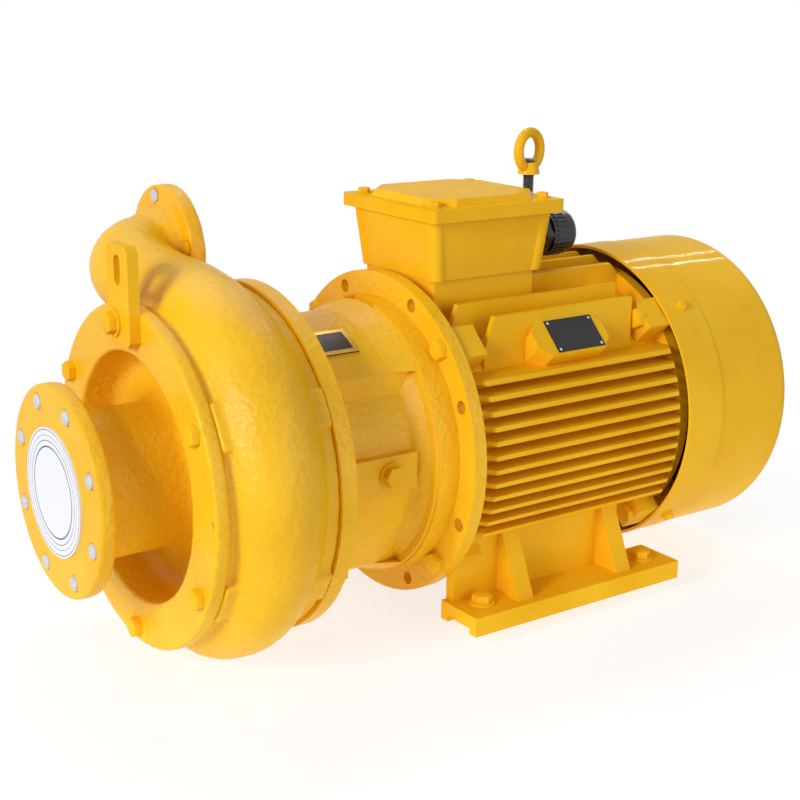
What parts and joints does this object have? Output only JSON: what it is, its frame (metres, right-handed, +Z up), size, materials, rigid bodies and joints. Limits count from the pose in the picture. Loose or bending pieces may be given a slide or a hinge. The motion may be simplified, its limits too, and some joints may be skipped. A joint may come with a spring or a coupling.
{
  "type": "slurry pump",
  "caption": "Close-coupled electric slurry pump: end-suction volute with an axial discharge elbow, lantern bracket and finned foot-mounted motor with terminal box and fan cowl.",
  "frame": {"origin": "centre of the four foot holes, on the underside of the motor feet", "axes": "+X along the shaft from the suction flange to the fan, +Z up, -Y the side with the motor nameplate"},
  "size_m": [1.043, 0.5674, 0.6399],
  "materials": {
    "yellow_paint": "gloss paint on rough castings",
    "wear_iron": "as cast, machined faces",
    "machined_steel": "machined",
    "stud_steel": "black oxide thread",
    "core_steel": "laminated",
    "winding_copper": "varnished winding",
    "seal_carbon": "lapped",
    "black_plate": "black anodised, bare",
    "black_plastic": "moulded",
    "white_plastic": "moulded",
    "gasket_rubber": "sheet"
  },
  "bodies": {
    "pump": {"suction_cover": "yellow_paint", "volute_casing": "yellow_paint", "lifting_bar": "yellow_paint", "cover_bolts": "yellow_paint", "lantern_bracket": "yellow_paint", "lantern_bolts": "yellow_paint", "lantern_plug": "yellow_paint", "motor_frame": "yellow_paint", "flange_bolts": "yellow_paint", "end_shield": "yellow_paint", "shield_bolts": "yellow_paint", "fan_cowl": "yellow_paint", "cowl_screws": "yellow_paint", "terminal_box": "yellow_paint", "terminal_lid": "yellow_paint", "lid_bolts": "yellow_paint", "eye_nut": "yellow_paint", "throat_liner": "wear_iron", "back_plate": "wear_iron", "seal_gland": "wear_iron", "bearing_cover": "wear_iron", "drive_bearing_outer": "machined_steel", "fan_bearing_outer": "machined_steel", "terminal_studs": "machined_steel", "eye_stud": "stud_steel", "stator_core": "core_steel", "stator_windings": "winding_copper", "motor_nameplate": "black_plate", "lantern_plate": "black_plate", "cable_gland": "black_plastic", "terminal_board": "black_plastic", "terminal_gasket": "gasket_rubber"},
    "rotor": {"pump_shaft": "machined_steel", "impeller": "wear_iron", "shaft_sleeve": "machined_steel", "seal_ring": "seal_carbon", "drive_bearing_inner": "machined_steel", "fan_bearing_inner": "machined_steel", "rotor_core": "core_steel", "cooling_fan": "black_plastic"},
    "suction_cap": {"suction_cap": "white_plastic"}
  },
  "joints": [
    {"name": "rotor_spin", "type": "hinge", "parent": "pump", "child": "rotor", "pos_m": [0, 0, 0.225], "axis": [1, 0, 0], "continuous": true},
    {"name": "cap_pull", "type": "slide", "parent": "pump", "child": "suction_cap", "axis": [-1, 0, 0], "range_m": [0, 0.06]}
  ]
}
